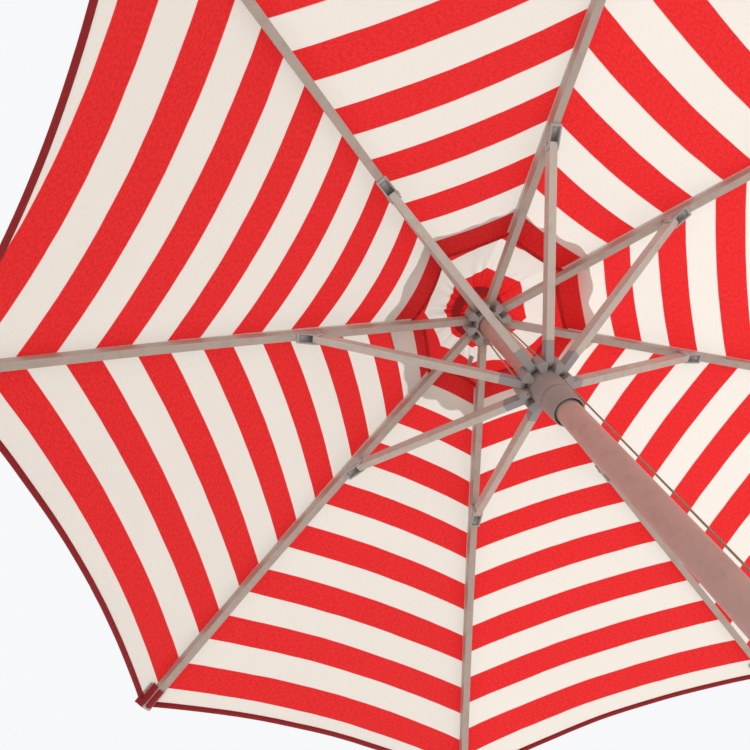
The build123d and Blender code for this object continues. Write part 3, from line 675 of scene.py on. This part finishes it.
class UMBRELLA_OT_pockets(bpy.types.Operator):
    """Reinforced pocket that holds each rib's tip at the hem"""

    bl_idname = "umbrella.pockets"
    bl_label = "Tip pockets"

    length: size("Length", "Length of a pocket along the rib", 0.052)
    half_width: size("Half width", "Rib line to a pocket's edge", 0.021)
    depth: size("Depth", "Depth of the pocket round the tip", 0.0262)
    below: size("Below", "The pocket's flanges below the cloth", 0.0012)
    closing: size("Closing", "Length over which the pocket's end closes", 0.012)
    flange_from: share("Flange from", "Share of the half width where the flange starts", 0.62)
    waist: share("Waist", "Width of the round part over its share", 0.916)

    def execute(self, context):
        hem_at = context.scene.umbrella_canopy.hem_at
        finish = hem_cloth()
        places = even(-1.0, 1.0, 12)
        for rib in range(1, RIB_COUNT + 1):
            azimuth = (rib - 1) * PITCH
            side = turned(1.0, 0.0, azimuth + math.pi / 2)
            rows = []
            for along in even(hem_at - self.length, hem_at - 0.0005, 8):
                opened = min((hem_at - along) / self.closing, 1.0) ** 0.5
                row = []
                for place in places:
                    round_part = (1 - min(abs(place) / self.flange_from, 1.0) ** 4) * opened
                    above = cloth_above(along) - self.below - self.depth * round_part
                    radius, height = rib_line(along, above)
                    narrowed = 1.0 if abs(place) > self.flange_from else self.waist
                    lateral = self.half_width * place * narrowed
                    point = turned(radius, height, azimuth) + side * lateral
                    row.append((point, (along, lateral)))
                rows.append(row)
            pocket = grid_object(f"pocket_{rib}", rows, len(places), finish)
            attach(pocket, f"rib_{rib}")
        return {"FINISHED"}


# Bearings, in degrees, to which the cap and its red rounds lie off the axis.
EDGE_TOWARDS, CENTRE_TOWARDS, RING_TOWARDS = 330, 10, 345
CAP_FALL = (0.3, 0.7)              # straight and curved shares of the cap's fall
GATHERS = (23, 37)                 # folds round the cap in its two sets of gathers
GATHER_START, GATHER_AT, GATHER_SPREAD = 0.14, 0.2, 0.22
CENTRE_STRETCH = 0.55              # flat cut over radius in the gathered centre


def cap_azimuth(panel, across):
    return (panel - 1 + across) * PITCH


def lopsided(mean, off, azimuth, towards):
    """Radius of a round sewn off the axis."""
    return mean + off * math.cos(azimuth - math.radians(towards))


def cap_line(part, azimuth):
    """Radius and height of the cap on a rib's line, before it dips between the ribs."""
    cap = bpy.context.scene.umbrella_cap
    edge_at = lopsided(cap.edge_at, cap.edge_off, azimuth, EDGE_TOWARDS)
    edge_radius, edge_height = rib_line(edge_at, cloth_above(edge_at) + cap.lift)
    radius = cap.inner + (edge_radius - cap.inner) * part
    fall = CAP_FALL[0] * part + CAP_FALL[1] * part * part
    return radius, CAP_TOP + (edge_height - CAP_TOP) * fall


def cap_point(part, panel, across):
    """Point of the vent cap, part from 0 at its eye to 1 at its loose edge."""
    cap = bpy.context.scene.umbrella_cap
    radius, height = cap_line(part, cap_azimuth(panel, across))
    point = spread(radius, height, panel, across)
    azimuth = math.atan2(point.y, point.x)
    ripple = Vector((math.cos(azimuth) * 2.2, math.sin(azimuth) * 2.2, part * 0.8))
    loose = part ** 4
    point += turned(1.0, 0.0, azimuth) * (cap.wave * loose * noise.noise(ripple * 3.1))
    point.z += cap.wave * loose * (0.5 * noise.noise(ripple * 2.7) - 0.1)
    broad, narrow = GATHERS
    folds = math.sin(azimuth * broad + 2.5 * noise.noise(ripple))
    folds += 0.7 * math.sin(azimuth * narrow + 1.0)
    depth = cap.gather * min(part / GATHER_START, 1.0)
    depth *= math.exp(-((part - GATHER_AT) / GATHER_SPREAD) ** 2)
    point.z += depth * 0.5 * folds
    return point


def cap_cut(radius, azimuth):
    """Distance in the flat cut for a radius of the cap: red centre, cream, red ring."""
    settings = bpy.context.scene.umbrella_canopy
    cap = bpy.context.scene.umbrella_cap
    centre = lopsided(cap.centre, cap.centre_off, azimuth, CENTRE_TOWARDS)
    ring = lopsided(cap.ring, cap.ring_off, azimuth, RING_TOWARDS)
    red_from = settings.stripe_from - settings.stripe
    if radius >= ring:
        return red_from + radius - ring
    if radius >= centre:
        return red_from - settings.stripe * (ring - radius) / (ring - centre)
    return red_from - settings.stripe - (centre - radius) * CENTRE_STRETCH


class UMBRELLA_OT_vent_cap(bpy.types.Operator):
    """Loose second layer over the vent, gathered at the finial"""

    bl_idname = "umbrella.vent_cap"
    bl_label = "Vent cap"

    def execute(self, context):
        columns = gore_columns(CAP_COLUMNS)
        for rib in range(1, RIB_COUNT + 1):
            rows = []
            for part in even(0.0, 1.0, CAP_ROWS):
                row = []
                for offset, across in columns:
                    panel = panel_number(rib, offset)
                    point = cap_point(part, panel, across)
                    azimuth = cap_azimuth(panel, across)
                    radius = cap_line(part, azimuth)[0]
                    row.append((point, (cap_cut(radius, azimuth), radius * azimuth)))
                rows.append(row)
            gore = grid_object(f"cap_gore_{rib}", rows, len(columns), canopy_cloth(), parted=True)
            if rib == 1:
                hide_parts("vent_cap")
            width = (rows[-1][0][0] - rows[-1][-1][0]).length
            on_rib = [row[CAP_COLUMNS][0] for row in rows]
            length = (on_rib[-1] - on_rib[0]).length
            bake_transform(gore)
        return {"FINISHED"}


class UMBRELLA_OT_collar(bpy.types.Operator):
    """Layers of the cap drawn in and bound round the pulley's cover"""

    bl_idname = "umbrella.collar"
    bl_label = "Gathered collar"

    low: size("Low radius", "Radius at its bound lower edge", 0.045)
    above_hub: size("Above hub", "Height of the lower edge over the hub's roof", 0.002)
    top_at: share("Top at", "Part of the way down the cap where the collar's top lies", 0.24)
    in_from_cap: size("In from cap", "The cap's line to the collar's top, inwards", 0.006)
    under_cap: size("Under cap", "The cap's line to the collar's top, downwards", 0.004)
    pleats: IntProperty(name="Pleats", description="Pleats round the collar", default=26)
    pleat_depth: size("Pleat depth", "Depth of a pleat", 0.0013)

    def execute(self, context):
        settings = context.scene.umbrella_canopy
        # The collar's red is the canopy red darkened to 0.62: painted shade of the deep gathers
        # round the hub.
        finish = plain_cloth("gathered_cloth_painted_shade", dark(settings.red, 0.62), 0.08)
        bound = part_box("crown_hub")[1][2] + self.above_hub
        top_radius, top = cap_line(self.top_at, 0.0)
        flare = top_radius - self.in_from_cap - self.low
        rise = top - self.under_cap - bound
        rows = []
        for part in even(0.0, 1.0, 14):
            row = []
            for azimuth in even(0.0, math.tau, 8 * self.pleats):
                swing = noise.noise(Vector((math.cos(azimuth), math.sin(azimuth), 0.3)) * 3.0)
                pleat = math.sin(self.pleats * azimuth + 3.0 * swing)
                radius = self.low + flare * part ** 1.6
                radius += self.pleat_depth * (1.2 - part) * pleat
                height = bound + rise * part
                row.append((turned(radius, height, azimuth), (height, 0.06 * azimuth)))
            rows.append(row)
        collar = grid_object("cap_collar", rows, len(rows[0]), finish)
        around = math.pi * (self.low + top_radius)
        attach(collar, "pole")
        return {"FINISHED"}


class UMBRELLA_OT_loop(bpy.types.Operator):
    """Small blank tab of tape that hangs from the inside of the cap"""

    bl_idname = "umbrella.loop"
    bl_label = "Tape tab"

    length: size("Length", "Length of the tab", 0.066)
    width: size("Width", "Width of the tape", 0.013)
    curl: size("Curl", "How far the tape stands out of its plane", 0.006)
    under_cap: size("Under cap", "The cap to the tab's top", 0.003)
    rounded: share("Rounded", "Share of the length in the rounded end", 0.09)

    sewn_at = Vector((-0.077, 0.080))
    fall = Vector((-0.042, 0.010, -0.052)).normalized()
    side = Vector((0.45, 0.85, 0.0)).normalized()

    def top(self):
        """Point of the fourth panel's cap over the place where the tab is sewn."""
        spots = [
            cap_point(part, 4, across)
            for part in even(0.2, 0.7, 60) for across in even(0.0, 1.0, 40)
        ]
        nearest = min(spots, key=lambda spot: (spot.xy - self.sewn_at).length)
        return nearest - Vector((0.0, 0.0, self.under_cap))

    def execute(self, context):
        settings = context.scene.umbrella_canopy
        # The tab's grey is the cream darkened to 0.55: painted shade of the tab hanging in shadow
        # under the cap.
        finish = plain_cloth("tape", dark(settings.cream, 0.55), 0.2)
        top = self.top()
        rows = []
        for part in even(0.0, 1.0, 20):
            rounding = min((1 - part) / self.rounded, 1.0)
            half = self.width / 2 * max(1 - (1 - rounding) ** 2, 0.0) ** 0.5
            curl = self.side.cross(self.fall) * (self.curl * math.sin(part * 2.4))
            middle = top + self.fall * (self.length * part) + curl
            rows.append([
                (middle + self.side * (half * place), (part, place))
                for place in even(-1.0, 1.0, 4)
            ])
        tab = grid_object("tape_tab", rows, 5, finish)
        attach(tab, "pole")
        return {"FINISHED"}


# =====================================================================
# Lift cord
# =====================================================================
# The figures of eight on the cleat: their number and steps each, then metres.
WRAPS, WRAP_STEPS = 3, 32
WRAP_REACH, WRAP_SWAY, WRAP_CROSSING = 0.030, 0.0105, 0.0036
WRAP_OUT, WRAP_GROWTH = 0.0052, 0.00002


def tube_object(name, line, radius, finish, sides=12):
    """Round tube through a list of points, with a cut for the braid."""
    rows = []
    travelled = 0.0
    frame_side = None
    for index, point in enumerate(line):
        before = line[max(index - 1, 0)]
        after = line[min(index + 1, len(line) - 1)]
        tangent = (after - before).normalized()
        if frame_side is None:
            frame_side = tangent.orthogonal().normalized()
        frame_side = (frame_side - tangent * frame_side.dot(tangent)).normalized()
        other = tangent.cross(frame_side)
        if index:
            travelled += (point - line[index - 1]).length
        row = []
        for side in range(sides + 1):
            angle = -math.tau * side / sides
            place = point + (frame_side * math.cos(angle) + other * math.sin(angle)) * radius
            row.append((place, (side / sides * 2.0, travelled / (radius * 5))))
        rows.append(row)
    obj = grid_object(name, rows, sides + 1, finish)
    return obj


def knot_object(name, centre, radius, finish):
    """Overhand stop knot: three rounds of cord pulled up into a ball."""
    turns = 3
    line = []
    for part in even(0.0, 1.0, turns * 16):
        rise = part - 0.5
        swell = 1.5 * radius * math.cos(rise * 2.4)
        line.append(centre + turned(swell, rise * radius * 3.4, math.tau * turns * part))
    return tube_object(name, line, radius, finish, 8)


class UMBRELLA_OT_lift_cord(bpy.types.Operator):
    """Cord knotted at the runner, led over the pulley and made fast on the cleat"""

    bl_idname = "umbrella.lift_cord"
    bl_label = "Lift cord"

    def execute(self, context):
        fitting = context.scene.umbrella_fitting
        finish = braided_cord(fitting.cord)
        radius = fitting.cord_diameter / 2
        pitch = fitting.sheave_pitch
        down = SHEAVE.z - RUNNER_HIGH.z
        reach = math.hypot(fitting.cord_guide, down)
        slant = math.atan2(fitting.cord_guide, down) - math.asin(pitch / reach)

        def at(radial, height):
            return turned(radial, height, CORD_PLANE)

        def leaning(height):
            tangent_z = SHEAVE.z + pitch * math.sin(slant)
            return pitch * math.cos(slant) + (tangent_z - height) * math.tan(slant)

        arc = [
            at(pitch * math.cos(angle), SHEAVE.z + pitch * math.sin(angle))
            for angle in even(math.pi - slant, slant, 32)
        ]
        over = tube_object("cord_over_pulley", arc, radius, finish)
        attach(over, "pole")
        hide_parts("lift_cord")

        lug_base = RUNNER_LOW.z + fitting.neck_length
        hoist = [at(-leaning(z), z) for z in even(arc[0].z, lug_base, 40)]
        run = tube_object("cord_hoist", hoist, radius, finish)
        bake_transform(run)
        knot_at = hoist[-1] - Vector((0, 0, fitting.knot_below))
        knot = knot_object("cord_knot", knot_at, radius, finish)
        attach(knot, "runner")

        guide = [at(leaning(z), z) for z in even(arc[-1].z, lug_base, 40)]
        fall = tube_object("cord_fall", guide, radius, finish)
        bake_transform(fall)
        cleat_low, cleat_high = (Vector(corner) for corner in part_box("cord_cleat"))
        cleat = (cleat_low + cleat_high) / 2
        out = math.hypot(cleat_high.x, cleat_high.y) - fitting.cleat_inset
        tail_end = at(out, cleat.z + fitting.tail_above)
        tail = [guide[-1].lerp(tail_end, part) for part in even(0.0, 1.0, 40)]
        run = tube_object("cord_tail", tail, radius, finish)
        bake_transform(run)

        side = turned(1.0, 0.0, CORD_PLANE + math.pi / 2)
        figures = []
        for step in range(WRAPS * WRAP_STEPS + 1):
            angle = math.tau * step / WRAP_STEPS
            swing = math.sin(angle)
            crossing = WRAP_CROSSING * math.cos(2 * angle) * swing
            outward = out + WRAP_OUT + crossing + step * WRAP_GROWTH
            sway = side * (WRAP_SWAY * math.sin(2 * angle))
            figures.append(at(outward, cleat.z + WRAP_REACH * swing) + sway)
        wraps = tube_object("cord_wraps", figures, radius, finish)
        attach(wraps, "pole")
        return {"FINISHED"}


# =====================================================================
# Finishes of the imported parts
# =====================================================================
class UMBRELLA_OT_finishes(bpy.types.Operator):
    """Procedural finishes for every metal and plastic part"""

    bl_idname = "umbrella.finishes"
    bl_label = "Frame finishes"

    def execute(self, context):
        fitting = context.scene.umbrella_fitting
        rib = tube_metal("rib_tube", fitting.rib, 0.48, 0.18, (0.06, 0.06, 1.0))
        strut = tube_metal("strut_tube", fitting.strut, 0.48, 0.18, (0.06, 0.06, 1.0))
        pole = tube_metal("pole_tube", fitting.pole, 0.38, 0.25, (1.0, 1.0, 0.04))
        hub = moulded("hub_nylon", fitting.hub)
        bracket = moulded("bracket_nylon", fitting.bracket)
        strut_end = moulded("strut_end_nylon", fitting.strut_end)
        pin = plated_pin()
        starts = {
            "rib": rib, "strut": strut, "strut_end": strut_end, "bracket": bracket, "tip": bracket,
            "pole": pole, "crown_pins": pin, "pulley_axle": pin, "cleat_screws": pin,
        }
        for name, node in frame["nodes"].items():
            matching = [start for start in starts if name.startswith(start)]
            finish = starts[max(matching, key=len)] if matching else hub
            if not node.material_slots:
                raise RuntimeError(f"{name} has no material slot")
            for slot in node.material_slots:
                slot.material = finish
        return {"FINISHED"}


# =====================================================================
# Stage
# =====================================================================
class UMBRELLA_OT_stage(bpy.types.Operator):
    """Pale floor, soft light and the camera under the canopy"""

    bl_idname = "umbrella.stage"
    bl_label = "Stage"

    def execute(self, context):
        stage = context.scene.umbrella_stage
        self.add_camera(context, stage)
        self.add_floor(context, stage)
        self.add_light(context, stage)
        self.add_sky(context, stage)
        context.scene.view_settings.view_transform = "Standard"
        return {"FINISHED"}

    def add_camera(self, context, stage):
        camera = bpy.data.objects.new("camera", bpy.data.cameras.new("camera"))
        context.collection.objects.link(camera)
        camera.data.lens = stage.lens
        camera.data.clip_start = 0.02
        middle = Vector((0, 0, CROWN.z))
        camera.location = middle + Vector(stage.camera_place)
        look = turned(math.cos(stage.pitch), math.sin(stage.pitch), stage.bearing)
        facing = look.to_track_quat("-Z", "Y").to_matrix()
        facing @= Euler((0, 0, stage.roll)).to_matrix()
        camera.rotation_euler = facing.to_euler()
        context.scene.camera = camera

    def add_floor(self, context, stage):
        half = stage.floor_width / 2
        corners = [(-half, -half, 0), (half, -half, 0), (half, half, 0), (-half, half, 0)]
        mesh = bpy.data.meshes.new("floor")
        mesh.from_pydata(corners, [], [(0, 1, 2, 3)])
        floor = bpy.data.objects.new("floor", mesh)
        context.collection.objects.link(floor)
        finish = Finish("pale_floor")
        grain = finish.noise(6.0, 3.0)
        shade = finish.blend(grain, dark(stage.floor_colour, 0.97), stage.floor_colour)
        mesh.materials.append(finish.done(finish.surface(Base_Color=shade, Roughness=0.9)))

    def add_light(self, context, stage):
        key = bpy.data.objects.new("key", bpy.data.lights.new("key", "SUN"))
        context.collection.objects.link(key)
        key.data.energy = stage.sun_power
        key.data.angle = stage.sun_angle
        key.data.color = (1.0, 0.985, 0.96)
        away = turned(math.cos(stage.sun_height), math.sin(stage.sun_height), stage.sun_bearing)
        key.rotation_euler = away.to_track_quat("Z", "Y").to_euler()

    def add_sky(self, context, stage):
        world = bpy.data.worlds.new("soft_sky")
        context.scene.world = world
        world.use_nodes = True
        nodes, links = world.node_tree.nodes, world.node_tree.links
        nodes.clear()
        light = nodes.new("ShaderNodeBackground")
        light.inputs["Color"].default_value = (1.0, 0.99, 0.98, 1)
        light.inputs["Strength"].default_value = stage.sky_power
        seen = nodes.new("ShaderNodeBackground")
        seen.inputs["Color"].default_value = (0.93, 0.94, 0.95, 1)
        ray = nodes.new("ShaderNodeLightPath")
        either = nodes.new("ShaderNodeMath")
        either.operation = "MAXIMUM"
        mix = nodes.new("ShaderNodeMixShader")
        output = nodes.new("ShaderNodeOutputWorld")
        links.new(ray.outputs["Is Camera Ray"], either.inputs[0])
        links.new(ray.outputs["Is Glossy Ray"], either.inputs[1])
        links.new(either.outputs[0], mix.inputs[0])
        links.new(light.outputs[0], mix.inputs[1])
        links.new(seen.outputs[0], mix.inputs[2])
        links.new(mix.outputs[0], output.inputs[0])


class UMBRELLA_PT_panel(bpy.types.Panel):
    """Lists the umbrella's pieces"""

    bl_label = "Beach Umbrella"
    bl_idname = "UMBRELLA_PT_panel"
    bl_space_type = "VIEW_3D"
    bl_region_type = "UI"
    bl_category = "Umbrella"

    def draw(self, context):
        for operator in PIECES:
            self.layout.operator(operator.bl_idname)


PIECES = (
    UMBRELLA_OT_stage, UMBRELLA_OT_canopy, UMBRELLA_OT_hems, UMBRELLA_OT_seams,
    UMBRELLA_OT_pockets, UMBRELLA_OT_vent_cap, UMBRELLA_OT_collar, UMBRELLA_OT_loop,
    UMBRELLA_OT_lift_cord, UMBRELLA_OT_finishes,
)
GROUPS = {
    "umbrella_canopy": CanopySettings, "umbrella_cap": CapSettings,
    "umbrella_fitting": FittingSettings, "umbrella_stage": StageSettings,
}


def register():
    for group in GROUPS.values():
        bpy.utils.register_class(group)
    for name, group in GROUPS.items():
        setattr(bpy.types.Scene, name, PointerProperty(type=group))
    for operator in PIECES:
        bpy.utils.register_class(operator)
    bpy.utils.register_class(UMBRELLA_PT_panel)


def unregister():
    bpy.utils.unregister_class(UMBRELLA_PT_panel)
    for operator in reversed(PIECES):
        bpy.utils.unregister_class(operator)
    for name in GROUPS:
        delattr(bpy.types.Scene, name)
    for group in reversed(GROUPS.values()):
        bpy.utils.unregister_class(group)


def main():
    register()
    for operator in PIECES:
        group, name = operator.bl_idname.split(".")
        getattr(getattr(bpy.ops, group), name)()


if __name__ == "__main__":
    main()
